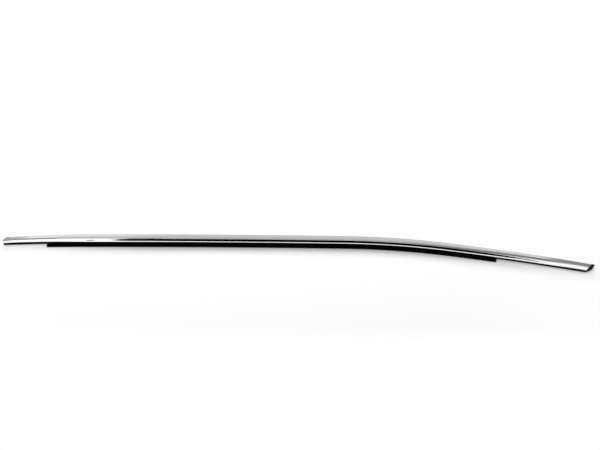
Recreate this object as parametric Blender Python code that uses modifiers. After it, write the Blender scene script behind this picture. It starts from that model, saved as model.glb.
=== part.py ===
"""Car body side moulding: a bright roll-formed trim strip, crimped over a black rubber
carrier that has a wiper lip in front and a push-on channel behind, with a moulded cap
on its right end.

Each piece is made straight, as it leaves its tool, and its ends are cut while it is
straight. Then it is bent along the plan curve of the door it was made for, and drawn
down to a smaller section at both ends. The rubber in front of the trim strip keeps its
full reach at the left end.

Straight pieces: +X along the strip from its left end, +Y from the wiper lip's side to
the channel's mouth, +Z up from the flat back. The origin of the finished moulding is
on the flat back at mid-length, where the strip runs along +X.
"""

import math

import bmesh
import bpy
from mathutils import Matrix, Vector

MM = 0.001

# Plan curve, left to right: four runs that all turn towards the lip's side
LEFT_RUN = 130 * MM
LEFT_BEND_RADIUS = 2794 * MM
MIDDLE_RUN = 418 * MM
MIDDLE_BEND_RADIUS = 20900 * MM
ELBOW_RUN = 167 * MM
ELBOW_BEND_RADIUS = 1354 * MM
RIGHT_RUN = 216 * MM
RIGHT_BEND_RADIUS = 4300 * MM

# Section shrinks smoothly towards the ends
LEFT_END_SCALE = 0.80
LEFT_TAPER_RUN = 200 * MM
RIGHT_END_SCALE = 0.96
RIGHT_TAPER_RUN = 61 * MM

# Trim strip section
TRIM_WIDTH = 14.1 * MM
SHEET = 0.6 * MM
HEM_HEIGHT = 3.7 * MM
HEM_WIDTH = 2.9 * MM
HEM_RADIUS = 0.95 * MM
FRONT_EDGE_HEIGHT = 5.7 * MM
FRONT_EDGE_RADIUS = 0.75 * MM
RIDGE_HEIGHT = 8.0 * MM
RIDGE_FROM_FRONT = 5.1 * MM
RIDGE_RADIUS = 1.1 * MM
REAR_EDGE_HEIGHT = 6.7 * MM
REAR_EDGE_RADIUS = 0.8 * MM
LOWER_FACET_CROWN = 0.10 * MM
UPPER_FACET_CROWN = 0.12 * MM

# Closed left end of the trim strip: a slanted rear corner under a sloping facet
END_FLAT_WIDTH = 6.6 * MM
END_SLANT_RUN = 5.8 * MM
END_FACET_SLOPE = math.radians(20)
HEM_END_GAP = 12.0 * MM

# Right end: trim strip and carrier are mitred together
MITRE_ANGLE = math.radians(28)

# Rubber carrier section
CLEARANCE = 0.35 * MM
BACK_LEG = 1.0 * MM
BACK_LEG_SETBACK = 0.9 * MM
SLOT_HEIGHT = 2.5 * MM
NOSE_DEPTH = 4.2 * MM
NOSE_SETBACK = 0.2 * MM
HEAD_HOOK = 1.0 * MM
HEEL = 0.8 * MM
FIN_HEIGHT = 0.4 * MM
FIN_WIDTH = 0.6 * MM
FIN_PITCH = 2.0 * MM
FIN_COUNT = 3

# Wiper lip on the front of the carrier
LIP_REACH = 6.4 * MM
LIP_ROOT = 1.6 * MM
LIP_TIP = 0.9 * MM
LIP_GROUND_GAP = 0.3 * MM
LIP_START = 70.2 * MM
LIP_END = 786.5 * MM
LIP_END_SLANT = math.radians(38)
LIP_CUT_DEPTH = 0.15 * MM

# Carrier at the closed end of the trim strip
CARRIER_END_GAP = 1.2 * MM
HEAD_END_GAP = 9.0 * MM
SKIVE_DEPTH = 0.4 * MM

# End cap
CAP_LENGTH = 5.1 * MM
CAP_NOSE_ANGLE = math.radians(36)
CAP_NOSE_LAND = 0.2 * MM
CAP_EDGE_RADIUS = 0.5 * MM
CAP_EDGE_STEPS = 2
CAP_FOOT_CHAMFER = 0.6 * MM
TONGUE_LENGTH = 10.0 * MM
TONGUE_END_GAP = 1.2 * MM

# Fineness of the model
STATION_SPACING = 23.0 * MM
GUIDE_SPACING = 5.0 * MM
FILLET_STEPS = 4
FACET_STEPS = 3
SHARP_EDGE = math.radians(32)

# A face looks a given way when its normal leans no further from it than this
SQUARE_ON = math.cos(math.radians(8))
CUT_TOLERANCE = 0.0001 * MM

# How far cutters and blanks run past the piece they shape
SPARE = 10.0 * MM
LEAD = 4 * GUIDE_SPACING

LENGTH = LEFT_RUN + MIDDLE_RUN + ELBOW_RUN + RIGHT_RUN
FRONT = -TRIM_WIDTH / 2
REAR = TRIM_WIDTH / 2
RIDGE = FRONT + RIDGE_FROM_FRONT
SLOT_CEILING = BACK_LEG + SLOT_HEIGHT
NOSE_TOP = HEM_HEIGHT - CLEARANCE


def clear_scene():
    for thing in list(bpy.data.objects):
        bpy.data.objects.remove(thing, do_unlink=True)


def new_collection(name):
    collection = bpy.data.collections.new(name)
    bpy.context.scene.collection.children.link(collection)
    return collection


def new_material(name, colour, metallic, roughness):
    material = bpy.data.materials.new(name)
    material.use_nodes = True
    shader = material.node_tree.nodes["Principled BSDF"]
    shader.inputs["Base Color"].default_value = (*colour, 1.0)
    shader.inputs["Metallic"].default_value = metallic
    shader.inputs["Roughness"].default_value = roughness
    return material


def new_object(name, bm, collection, material=None):
    mesh = bpy.data.meshes.new(name)
    bm.to_mesh(mesh)
    bm.free()
    thing = bpy.data.objects.new(name, mesh)
    collection.objects.link(thing)
    if material:
        mesh.materials.append(material)
    return thing


# Outlines of sections, as points (y, z)


def fillet(before, corner, after, radius):
    """Points of the arc that rounds one corner of an outline."""
    before, corner, after = Vector(before), Vector(corner), Vector(after)
    back = (before - corner).normalized()
    ahead = (after - corner).normalized()
    half_angle = back.angle(ahead) / 2
    centre = corner + (back + ahead).normalized() * (radius / math.sin(half_angle))
    first = corner + back * (radius / math.tan(half_angle)) - centre
    last = corner + ahead * (radius / math.tan(half_angle)) - centre
    sweep = last.angle_signed(first)
    points = []
    for step in range(FILLET_STEPS + 1):
        turn = Matrix.Rotation(sweep * step / FILLET_STEPS, 2)
        points.append(centre + turn @ first)
    return points


def crowned(start, end, crown):
    """Points between two ends of a facet that bulges out by its crown."""
    run = end - start
    outwards = Vector((-run.y, run.x)).normalized()
    points = []
    for step in range(1, FACET_STEPS):
        share = step / FACET_STEPS
        points.append(start + run * share + outwards * crown * 4 * share * (1 - share))
    return points


def trim_outline():
    """The outside of the trim strip, from the front hem's tip over the top to the rear hem's tip."""
    front_tip = Vector((FRONT + HEM_WIDTH, HEM_HEIGHT))
    front_foot = Vector((FRONT, HEM_HEIGHT))
    front_edge = Vector((FRONT, FRONT_EDGE_HEIGHT))
    ridge = Vector((RIDGE, RIDGE_HEIGHT))
    rear_edge = Vector((REAR, REAR_EDGE_HEIGHT))
    rear_foot = Vector((REAR, HEM_HEIGHT))
    rear_tip = Vector((REAR - HEM_WIDTH, HEM_HEIGHT))
    front_arc = fillet(front_foot, front_edge, ridge, FRONT_EDGE_RADIUS)
    ridge_arc = fillet(front_edge, ridge, rear_edge, RIDGE_RADIUS)
    rear_arc = fillet(ridge, rear_edge, rear_foot, REAR_EDGE_RADIUS)
    return [
        front_tip,
        *fillet(front_tip, front_foot, front_edge, HEM_RADIUS),
        *front_arc,
        *crowned(front_arc[-1], ridge_arc[0], LOWER_FACET_CROWN),
        *ridge_arc,
        *crowned(ridge_arc[-1], rear_arc[0], UPPER_FACET_CROWN),
        *rear_arc,
        *fillet(rear_edge, rear_foot, rear_tip, HEM_RADIUS),
        rear_tip,
    ]


def roof_height(y):
    """Height of the straight facets of the trim strip over a point across the section."""
    if y < RIDGE:
        share = (y - FRONT) / (RIDGE - FRONT)
        return FRONT_EDGE_HEIGHT + share * (RIDGE_HEIGHT - FRONT_EDGE_HEIGHT)
    share = (y - RIDGE) / (REAR - RIDGE)
    return RIDGE_HEIGHT + share * (REAR_EDGE_HEIGHT - RIDGE_HEIGHT)


def head_height(y):
    """Top of the carrier's head, which clears the underside of the sheet above it."""
    if y < RIDGE:
        slope = math.atan2(RIDGE_HEIGHT - FRONT_EDGE_HEIGHT, RIDGE - FRONT)
    else:
        slope = math.atan2(RIDGE_HEIGHT - REAR_EDGE_HEIGHT, REAR - RIDGE)
    return roof_height(y) - (SHEET + CLEARANCE) / math.cos(slope)


def fins(height, towards, backwards):
    """Saw-tooth grip fins on one face of the slot, in the order in which the outline meets them."""
    points = []
    mouth = REAR - HEM_WIDTH - CLEARANCE
    for number in range(FIN_COUNT):
        place = mouth - FIN_WIDTH - number * FIN_PITCH
        points += [
            Vector((place, height)),
            Vector((place - FIN_WIDTH, height + towards * FIN_HEIGHT)),
            Vector((place - FIN_WIDTH, height)),
        ]
    return list(reversed(points)) if backwards else points


def carrier_outline():
    """The rubber section, from the flat back round the slot, the head and the lip."""
    leg_front = FRONT + BACK_LEG_SETBACK
    leg_rear = REAR - BACK_LEG_SETBACK
    nose_front = FRONT + NOSE_SETBACK
    slot_floor = FRONT + NOSE_DEPTH
    neck_front = FRONT + HEM_WIDTH + CLEARANCE
    neck_rear = REAR - HEM_WIDTH - CLEARANCE
    head_floor = HEM_HEIGHT + SHEET + CLEARANCE
    head_front = FRONT + HEM_WIDTH - HEAD_HOOK
    head_rear = REAR - HEM_WIDTH + HEAD_HOOK
    leg_round = BACK_LEG / 2
    return [
        Vector((leg_front, 0)),
        Vector((leg_rear - leg_round, 0)),
        Vector((leg_rear, leg_round)),
        Vector((leg_rear - leg_round, BACK_LEG)),
        *fins(BACK_LEG, 1, False),
        Vector((slot_floor, BACK_LEG)),
        Vector((slot_floor, SLOT_CEILING)),
        *fins(SLOT_CEILING, -1, True),
        Vector((neck_rear, SLOT_CEILING)),
        Vector((neck_rear, head_floor)),
        Vector((head_rear, head_floor)),
        Vector((head_rear, head_height(head_rear))),
        Vector((RIDGE, head_height(RIDGE))),
        Vector((head_front, head_height(head_front))),
        Vector((head_front, head_floor)),
        Vector((neck_front, head_floor)),
        Vector((neck_front, NOSE_TOP)),
        Vector((nose_front, NOSE_TOP)),
        *lip_outline(nose_front),
        Vector((nose_front, HEEL)),
    ]


def lip_outline(nose_front):
    """The wiper lip: it thins and droops from its root on the nose to a round tip near the ground."""
    tip = FRONT - LIP_REACH
    tip_middle = LIP_GROUND_GAP + LIP_TIP / 2
    root_middle = NOSE_TOP - LIP_ROOT / 2
    middle_run = (nose_front + tip) / 2
    middle_height = (root_middle + tip_middle) / 2
    middle_thickness = (LIP_ROOT + LIP_TIP) / 2
    nib = LIP_TIP / 3
    return [
        Vector((middle_run, middle_height + middle_thickness / 2)),
        Vector((tip + nib, LIP_GROUND_GAP + LIP_TIP)),
        Vector((tip, tip_middle)),
        Vector((tip + nib, LIP_GROUND_GAP)),
        Vector((middle_run, middle_height - middle_thickness / 2)),
        Vector((nose_front, NOSE_TOP - LIP_ROOT)),
    ]


def cap_outline():
    """The end cap's section: flush with the trim strip, its sides carried down to the back."""
    front_foot = Vector((FRONT, CAP_FOOT_CHAMFER))
    front_edge = Vector((FRONT, FRONT_EDGE_HEIGHT))
    ridge = Vector((RIDGE, RIDGE_HEIGHT))
    rear_edge = Vector((REAR, REAR_EDGE_HEIGHT))
    rear_foot = Vector((REAR, CAP_FOOT_CHAMFER))
    return [
        Vector((FRONT + CAP_FOOT_CHAMFER, 0)),
        front_foot,
        *fillet(front_foot, front_edge, ridge, FRONT_EDGE_RADIUS),
        ridge,
        *fillet(ridge, rear_edge, rear_foot, REAR_EDGE_RADIUS),
        rear_foot,
        Vector((REAR - CAP_FOOT_CHAMFER, 0)),
    ]


# Straight bars and the tools that cut them


def stations(start, end):
    """Places along a bar where it gets a ring of points: the same ones on every piece."""
    first = math.floor(start / STATION_SPACING) + 1
    places = [start]
    for number in range(first, math.ceil(end / STATION_SPACING)):
        places.append(number * STATION_SPACING)
    places.append(end)
    return places


def bar(outline, start, end):
    """A closed straight bar with the outline as its section."""
    bm = bmesh.new()
    places = stations(start, end)
    ring = [bm.verts.new((LEAD + places[0], point.x, point.y)) for point in outline]
    edges = [bm.edges.new((ring[i - 1], ring[i])) for i in range(len(ring))]
    for before, place in zip(places, places[1:]):
        grown = bmesh.ops.extrude_edge_only(bm, edges=edges)["geom"]
        new_points = [part for part in grown if isinstance(part, bmesh.types.BMVert)]
        edges = [part for part in grown if isinstance(part, bmesh.types.BMEdge)]
        bmesh.ops.translate(bm, verts=new_points, vec=(place - before, 0, 0))
    close(bm, [edge for edge in bm.edges if edge.is_boundary])
    return bm


def close(bm, edges):
    bmesh.ops.holes_fill(bm, edges=edges)
    bmesh.ops.recalc_face_normals(bm, faces=bm.faces)


def score(bm, point, normal, drop=False):
    """Cut a bar's skin with a plane and, if asked, drop what lies beyond it."""
    whole = bm.verts[:] + bm.edges[:] + bm.faces[:]
    bmesh.ops.bisect_plane(
        bm, geom=whole, dist=CUT_TOLERANCE, plane_co=point, plane_no=normal, clear_outer=drop
    )


def slice_off(bm, point, normal):
    """Cut a closed bar with a plane, drop what lies beyond it and close the cut."""
    score(bm, point, normal, drop=True)
    close(bm, [edge for edge in bm.edges if edge.is_boundary])


def prism_tool(name, collection, corners, low, high):
    """A cutter or a block with straight sides, from its corners (x, y) in plan."""
    bm = bmesh.new()
    foot = bm.faces.new([bm.verts.new((LEAD + x, y, low)) for x, y in corners])
    grown = bmesh.ops.extrude_face_region(bm, geom=[foot])["geom"]
    top = [part for part in grown if isinstance(part, bmesh.types.BMVert)]
    bmesh.ops.translate(bm, verts=top, vec=(0, 0, high - low))
    bmesh.ops.recalc_face_normals(bm, faces=bm.faces)
    tool = new_object(name, bm, collection)
    tool.hide_render = True
    tool.display_type = "WIRE"
    return tool


def combine(thing, tool, operation):
    modifier = thing.modifiers.new(tool.name, "BOOLEAN")
    modifier.object = tool
    modifier.operation = operation
    modifier.solver = "EXACT"


def nose_cut(place):
    """Where a cut that takes the lip off meets the nose, at a distance from the left end."""
    return (FRONT + NOSE_SETBACK + LIP_CUT_DEPTH) / left_end_scale(place)


def mitre_point(y, offset=0.0):
    """Distance along the strip at which the mitre, or a plane offset beyond it, crosses y."""
    return LENGTH + y * math.tan(MITRE_ANGLE) + offset / math.cos(MITRE_ANGLE)


def end_slant(offset=0.0):
    """A point of the left end's slanted plane and its outward direction, seen in plan."""
    along = Vector((END_SLANT_RUN, TRIM_WIDTH - END_FLAT_WIDTH, 0)).normalized()
    outwards = Vector((-along.y, along.x, 0))
    return Vector((LEAD, FRONT + END_FLAT_WIDTH, 0)) - outwards * offset, outwards


# Bending


def bend_at(place):
    """Bend radius of the plan curve at a distance from the left end."""
    if place < LEFT_RUN:
        return LEFT_BEND_RADIUS
    if place < LEFT_RUN + MIDDLE_RUN:
        return MIDDLE_BEND_RADIUS
    if place < LEFT_RUN + MIDDLE_RUN + ELBOW_RUN:
        return ELBOW_BEND_RADIUS
    return RIGHT_BEND_RADIUS


def ease(share):
    share = min(max(share, 0.0), 1.0)
    return share * share * (3 - 2 * share)


def left_end_scale(place):
    """How far the left end's taper draws the section down at a distance from that end."""
    return LEFT_END_SCALE + (1 - LEFT_END_SCALE) * ease(place / LEFT_TAPER_RUN)


def section_scale(place):
    """Size of the section at a distance from the left end."""
    right = RIGHT_END_SCALE + (1 - RIGHT_END_SCALE) * ease((LENGTH - place) / RIGHT_TAPER_RUN)
    return left_end_scale(place) * right


def plan_walk(target):
    """Steps along the plan curve from its lead-in: points, headings and distances."""
    steps = round((LENGTH + 2 * LEAD) / GUIDE_SPACING)
    spacing = (target + LEAD) / steps
    point = Vector((0, 0))
    heading = 0.0
    walk = [(point, heading, -LEAD)]
    for step in range(steps):
        place = -LEAD + (step + 0.5) * spacing
        turn = -spacing / bend_at(place)
        point = point + spacing * Vector((math.cos(heading + turn / 2), math.sin(heading + turn / 2)))
        heading += turn
        walk.append((point, heading, -LEAD + (step + 1) * spacing))
    return walk


def bending_guide(collection):
    """The curve that bends the straight pieces: mid-length at the origin, heading along +X."""
    middle, heading, _ = plan_walk(LENGTH / 2)[-1]
    walk = plan_walk(LENGTH + LEAD)
    curve = bpy.data.curves.new("bending_guide", "CURVE")
    curve.dimensions = "3D"
    curve.twist_mode = "Z_UP"
    curve.use_radius = True
    spline = curve.splines.new("POLY")
    spline.points.add(len(walk) - 1)
    square_up = Matrix.Rotation(-heading, 2)
    for knot, (point, _, place) in zip(spline.points, walk):
        spot = square_up @ (point - middle)
        knot.co = (spot.x, spot.y, 0, 1)
        knot.radius = section_scale(place)
    guide = bpy.data.objects.new("bending_guide", curve)
    guide.hide_render = True
    guide.display_type = "WIRE"
    collection.objects.link(guide)
    return guide


def bend(thing, guide):
    modifier = thing.modifiers.new("stretch bend", "CURVE")
    modifier.object = guide
    modifier.deform_axis = "POS_X"


def shade(thing):
    thing.data.shade_smooth()
    thing.data.set_sharp_from_angle(angle=SHARP_EDGE)


# The three pieces


def trim_strip(parts, tools, guide, mitre):
    """Bright sheet rolled to its section, its left end pressed shut, its hems crimped under."""
    bm = bar(trim_outline(), 0, LENGTH + SPARE)
    fold = Vector((LEAD + END_SLANT_RUN, RIDGE, RIDGE_HEIGHT))
    across = Vector((0, REAR - RIDGE, REAR_EDGE_HEIGHT - RIDGE_HEIGHT))
    down_to_end = Vector((math.cos(END_FACET_SLOPE), 0, math.sin(END_FACET_SLOPE)))
    slice_off(bm, fold, down_to_end.cross(across))
    slice_off(bm, *end_slant())
    hem_start = LEAD + HEM_END_GAP
    score(bm, Vector((hem_start, 0, 0)), Vector((1, 0, 0)))
    open_faces = []
    for face in bm.faces:
        middle = face.calc_center_median()
        under = face.normal.z < -SQUARE_ON
        between_hems = under and abs(middle.y) < REAR - HEM_WIDTH
        before_hems = under and middle.x < hem_start
        at_right_end = face.normal.x > SQUARE_ON and middle.x > LEAD + LENGTH
        if between_hems or before_hems or at_right_end:
            open_faces.append(face)
    bmesh.ops.delete(bm, geom=open_faces, context="FACES")
    material = new_material("bright trim", (0.80, 0.80, 0.82), 1.0, 0.08)
    strip = new_object("trim_strip", bm, parts, material)
    wall = strip.modifiers.new("sheet thickness", "SOLIDIFY")
    wall.thickness = SHEET
    wall.offset = -1
    wall.use_even_offset = True
    combine(strip, mitre, "DIFFERENCE")
    bend(strip, guide)
    shade(strip)
    return strip


def rubber_carrier(parts, tools, guide, mitre):
    """Black extruded rubber: flat back leg, gripping slot, head held by the hems, wiper lip."""
    bm = bar(carrier_outline(), CARRIER_END_GAP, LENGTH + SPARE)
    for point in bm.verts:
        if point.co.y < FRONT + BACK_LEG_SETBACK + CUT_TOLERANCE:
            point.co.y /= left_end_scale(point.co.x - LEAD)
    slice_off(bm, *end_slant(CARRIER_END_GAP))
    material = new_material("black rubber", (0.012, 0.012, 0.013), 0.0, 0.55)
    carrier = new_object("rubber_carrier", bm, parts, material)
    combine(carrier, mitre, "DIFFERENCE")

    above = RIDGE_HEIGHT + SPARE
    beside = REAR + SPARE
    head_room = [(-SPARE, -beside), (HEAD_END_GAP, -beside), (HEAD_END_GAP, beside), (-SPARE, beside)]
    skive = prism_tool("head_skive", tools, head_room, NOSE_TOP - SKIVE_DEPTH, above)
    combine(carrier, skive, "DIFFERENCE")

    clear = FRONT - LIP_REACH - SPARE
    left = [(-SPARE, clear), (LIP_START, clear)]
    for place in reversed(stations(-SPARE, LIP_START)):
        left.append((place, nose_cut(place)))
    cut = nose_cut(LIP_END)
    slant = (cut - clear) * math.tan(LIP_END_SLANT)
    far = LENGTH + 2 * SPARE
    right = [(LIP_END - slant, clear), (far, clear), (far, cut), (LIP_END, cut)]
    for name, corners in (("lip_cut_left", left), ("lip_cut_right", right)):
        combine(carrier, prism_tool(name, tools, corners, -SPARE, above), "DIFFERENCE")
    bend(carrier, guide)
    shade(carrier)
    return carrier


def end_cap(parts, tools, guide):
    """Black moulded cap: a mitred block with a slanted nose, held by a tongue in the slot."""
    bm = bar(cap_outline(), LENGTH - 2 * SPARE, LENGTH + 2 * SPARE)
    outwards = Vector((math.cos(MITRE_ANGLE), -math.sin(MITRE_ANGLE), 0))
    slice_off(bm, Vector((LEAD + mitre_point(0, CLEARANCE), 0, 0)), -outwards)
    slice_off(bm, Vector((LEAD + mitre_point(0, CLEARANCE + CAP_LENGTH), 0, 0)), outwards)
    nose_start = Vector((LEAD + mitre_point(FRONT, CLEARANCE) + CAP_NOSE_LAND, FRONT, 0))
    nose_out = Vector((math.sin(CAP_NOSE_ANGLE), -math.cos(CAP_NOSE_ANGLE), 0))
    slice_off(bm, nose_start, nose_out)
    end_faces = [
        face
        for face in bm.faces
        if face.normal.dot(outwards) > SQUARE_ON or face.normal.dot(nose_out) > SQUARE_ON
    ]
    rims = {edge for face in end_faces for edge in face.edges}
    bmesh.ops.bevel(
        bm,
        geom=list(rims),
        offset=CAP_EDGE_RADIUS,
        segments=CAP_EDGE_STEPS,
        profile=0.5,
        affect="EDGES",
        clamp_overlap=True,
    )
    bmesh.ops.recalc_face_normals(bm, faces=bm.faces)
    material = new_material("moulded black plastic", (0.010, 0.010, 0.011), 0.0, 0.35)
    cap = new_object("end_cap", bm, parts, material)

    rear = REAR - HEM_WIDTH - CLEARANCE
    front = FRONT + NOSE_DEPTH + CLEARANCE
    low = BACK_LEG + FIN_HEIGHT + CLEARANCE
    high = SLOT_CEILING - FIN_HEIGHT - CLEARANCE
    inside = CAP_LENGTH / 2
    tongue = [
        (mitre_point(front) - TONGUE_LENGTH, front),
        (mitre_point(front, inside), front),
        (mitre_point(rear, inside), rear),
        (mitre_point(rear) - TONGUE_LENGTH, rear - TONGUE_END_GAP),
    ]
    combine(cap, prism_tool("cap_tongue", tools, tongue, low, high), "UNION")
    bend(cap, guide)
    shade(cap)
    return cap


def main():
    clear_scene()
    parts = new_collection("car body side moulding")
    tools = new_collection("cutters and guides")
    guide = bending_guide(tools)
    side = REAR + LIP_REACH + SPARE
    far = LENGTH + 4 * SPARE
    beyond = [(mitre_point(-side), -side), (far, -side), (far, side), (mitre_point(side), side)]
    mitre = prism_tool("mitre_cut", tools, beyond, -SPARE, RIDGE_HEIGHT + SPARE)
    trim_strip(parts, tools, guide, mitre)
    rubber_carrier(parts, tools, guide, mitre)
    end_cap(parts, tools, guide)


main()
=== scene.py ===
import math

import bmesh
import bpy
from mathutils import Matrix, Vector


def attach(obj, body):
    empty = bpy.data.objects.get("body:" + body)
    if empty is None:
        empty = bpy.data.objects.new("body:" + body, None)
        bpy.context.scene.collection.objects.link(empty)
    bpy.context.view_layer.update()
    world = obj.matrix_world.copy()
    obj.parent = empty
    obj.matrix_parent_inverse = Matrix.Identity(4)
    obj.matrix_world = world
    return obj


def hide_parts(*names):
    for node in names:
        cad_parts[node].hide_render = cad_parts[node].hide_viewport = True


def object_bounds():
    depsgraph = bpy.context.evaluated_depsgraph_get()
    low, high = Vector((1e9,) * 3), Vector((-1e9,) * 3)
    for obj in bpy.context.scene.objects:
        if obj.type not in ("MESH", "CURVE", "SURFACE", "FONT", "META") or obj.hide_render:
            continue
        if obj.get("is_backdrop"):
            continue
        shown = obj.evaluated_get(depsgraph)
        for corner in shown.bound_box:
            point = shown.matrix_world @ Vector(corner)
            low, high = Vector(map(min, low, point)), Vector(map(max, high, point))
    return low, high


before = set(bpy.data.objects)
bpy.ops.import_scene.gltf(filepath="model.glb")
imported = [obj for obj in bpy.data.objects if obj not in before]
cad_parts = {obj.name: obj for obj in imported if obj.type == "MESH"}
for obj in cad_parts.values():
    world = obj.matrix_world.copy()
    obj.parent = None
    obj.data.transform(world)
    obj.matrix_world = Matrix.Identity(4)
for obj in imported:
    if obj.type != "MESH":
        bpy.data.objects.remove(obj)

cad_low, cad_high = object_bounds()

# Rubber carrier
# One length of black EPDM, extruded through a die and cut at both ends. It has the flat back,
# the slot that grips the door's flange, the head that the trim's hems close on, and the
# wiper lip. It is shaped straight, with its length along X, and bent with the rest.

MM = 0.001

# The door's curve, left to right: each run's length and the radius that it is bent to
RUNS_AND_BEND_RADII = (
    (130 * MM, 2794 * MM),
    (418 * MM, 20900 * MM),
    (167 * MM, 1354 * MM),
    (216 * MM, 4300 * MM),
)
LENGTH = sum(run for run, radius in RUNS_AND_BEND_RADII)
LEFT_END_SCALE, LEFT_TAPER_RUN = 0.80, 140 * MM
RIGHT_END_SCALE, RIGHT_TAPER_RUN = 0.96, 61 * MM

# A straight piece starts at LEAD and is drawn out in rings one STEP apart, and cutters run
# SPARE past what they cut. Points within NEAR are in one place. A face looks a given way when
# its normal's part in that way is over SQUARE_ON, or over SAME_WAY where two ways are close.
LEAD = 20 * MM
STEP = 5 * MM
SPARE = 10 * MM
NEAR = 0.002 * MM
SQUARE_ON, SAME_WAY = 0.99, 0.99999
SHARP_EDGE = math.radians(32)

# Places across the section, from the lip's side, and heights over the flat back. The trim is
# a few microns slimmer and lower than the CAD's, so that its rounder edges stay in the CAD box.
TRIM_WIDTH = 14.095 * MM
SHEET, CLEARANCE = 0.6 * MM, 0.35 * MM
HEM_HEIGHT, HEM_WIDTH, HEM_RADIUS = 3.7 * MM, 2.9 * MM, 0.95 * MM
FRONT, REAR = -TRIM_WIDTH / 2, TRIM_WIDTH / 2
FRONT_EDGE_HEIGHT, REAR_EDGE_HEIGHT = 5.7 * MM, 6.7 * MM
RIDGE, RIDGE_HEIGHT = FRONT + 5.1 * MM, 7.985 * MM
BACK_LEG, LEG_SETBACK = 1.0 * MM, 0.9 * MM
NOSE_FRONT, NOSE_TOP, HEEL = FRONT + 0.2 * MM, HEM_HEIGHT - CLEARANCE, 0.6 * MM
SLOT_FLOOR, SLOT_CEILING = FRONT + 4.2 * MM, 3.5 * MM
NECK_FRONT, NECK_REAR = FRONT + HEM_WIDTH + CLEARANCE, REAR - HEM_WIDTH - CLEARANCE
HEAD_HOOK, HEAD_FLOOR = 1.0 * MM, HEM_HEIGHT + SHEET + CLEARANCE
FIN_WIDTH, FIN_HEIGHT, FIN_PITCH, FINS = 0.6 * MM, 0.4 * MM, 2.0 * MM, 3
LIP_REACH, LIP_ROOT, LIP_TIP, LIP_GROUND_GAP = 6.2 * MM, 1.6 * MM, 0.9 * MM, 0.3 * MM
LIP_START, LIP_END, LIP_END_SLANT = 70.2 * MM, 788.6 * MM, math.radians(5)
LIP_STEPS, LIP_DROOP = 6, 0.4
LIP_TIP_RADIUS, LIP_ROOT_FILLET, LEG_EDGE_RADIUS = 0.42 * MM, 0.35 * MM, 0.45 * MM
LIP_CUT_DEPTH, REACH_KEPT = 0.15 * MM, 0.75
CARRIER_END_GAP, HEAD_END_GAP, SKIVE_DEPTH = 1.2 * MM, 9.0 * MM, 0.4 * MM
END_FLAT_WIDTH, END_SLANT_RUN = 8.0 * MM, 5.0 * MM
MITRE_ANGLE = math.radians(28)
MITRE_OUT = Vector((math.cos(MITRE_ANGLE), -math.sin(MITRE_ANGLE), 0))
SLANT_OUT = Vector((END_FLAT_WIDTH - TRIM_WIDTH, END_SLANT_RUN, 0)).normalized()


def ease(share):
    share = min(max(share, 0.0), 1.0)
    return share * share * (3 - 2 * share)


def left_end_scale(place):
    """How far the left end's taper draws the section down at a distance from that end."""
    return LEFT_END_SCALE + (1 - LEFT_END_SCALE) * ease(place / LEFT_TAPER_RUN)


def section_scale(place):
    right = RIGHT_END_SCALE + (1 - RIGHT_END_SCALE) * ease((LENGTH - place) / RIGHT_TAPER_RUN)
    return left_end_scale(place) * right


def bend_radius(place):
    reached = 0.0
    for run, radius in RUNS_AND_BEND_RADII:
        reached += run
        if place < reached:
            return radius
    return RUNS_AND_BEND_RADII[-1][1]


def walk_to(target):
    """Steps along the plan curve from its lead-in: points, headings and distances."""
    steps = round((LENGTH + 2 * LEAD) / STEP)
    spacing = (target + LEAD) / steps
    point, heading = Vector((0, 0)), 0.0
    walk = [(point, heading, -LEAD)]
    for step in range(steps):
        turn = -spacing / bend_radius(-LEAD + (step + 0.5) * spacing)
        ahead = heading + turn / 2
        point = point + spacing * Vector((math.cos(ahead), math.sin(ahead)))
        heading += turn
        walk.append((point, heading, -LEAD + (step + 1) * spacing))
    return walk


def bending_guide():
    """The door's curve, with mid-length at the origin along +X, and the taper as its radius."""
    middle, heading, place = walk_to(LENGTH / 2)[-1]
    square_up = Matrix.Rotation(-heading, 2)
    walk = walk_to(LENGTH + LEAD)
    curve = bpy.data.curves.new("bending_guide", "CURVE")
    curve.dimensions = "3D"
    curve.twist_mode = "Z_UP"
    spline = curve.splines.new("POLY")
    spline.points.add(len(walk) - 1)
    for knot, (point, heading, place) in zip(spline.points, walk):
        spot = square_up @ (point - middle)
        knot.co = (spot.x, spot.y, 0, 1)
        knot.radius = section_scale(place)
    guide = bpy.data.objects.new("bending_guide", curve)
    guide.hide_render = True
    bpy.context.scene.collection.objects.link(guide)
    return guide


guide = bending_guide()


def blank(name, low, high):
    """A straight box between two corners, in edit mode, with nothing else selected."""
    if bpy.context.mode != "OBJECT":
        bpy.ops.object.mode_set(mode="OBJECT")
    for thing in bpy.context.selected_objects:
        thing.select_set(False)
    centre = (Vector(low) + Vector(high)) / 2
    bpy.ops.mesh.primitive_cube_add(size=1, location=centre, scale=Vector(high) - Vector(low))
    bpy.ops.object.transform_apply(location=True, rotation=True, scale=True)
    piece = bpy.context.object
    piece.name = name
    piece.data.name = name
    bpy.ops.object.mode_set(mode="EDIT")
    return piece


def pick(kind, test):
    """In edit mode, select only the verts, edges or faces that pass the test."""
    bpy.ops.mesh.select_mode(type={"verts": "VERT", "edges": "EDGE", "faces": "FACE"}[kind])
    bpy.ops.mesh.select_all(action="DESELECT")
    mesh = bpy.context.object.data
    bm = bmesh.from_edit_mesh(mesh)
    for part in getattr(bm, kind):
        part.select_set(test(part))
    bm.select_flush_mode()
    bmesh.update_edit_mesh(mesh)


def cut(point, normal, drop=False):
    """Cut the whole piece with a plane; if asked, drop what lies beyond it and close the cut."""
    bpy.ops.mesh.select_all(action="SELECT")
    bpy.ops.mesh.bisect(plane_co=point, plane_no=normal, use_fill=drop, clear_outer=drop, threshold=NEAR)


def move(x=0.0, y=0.0, z=0.0):
    bpy.ops.transform.translate(value=(x, y, z))


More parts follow.
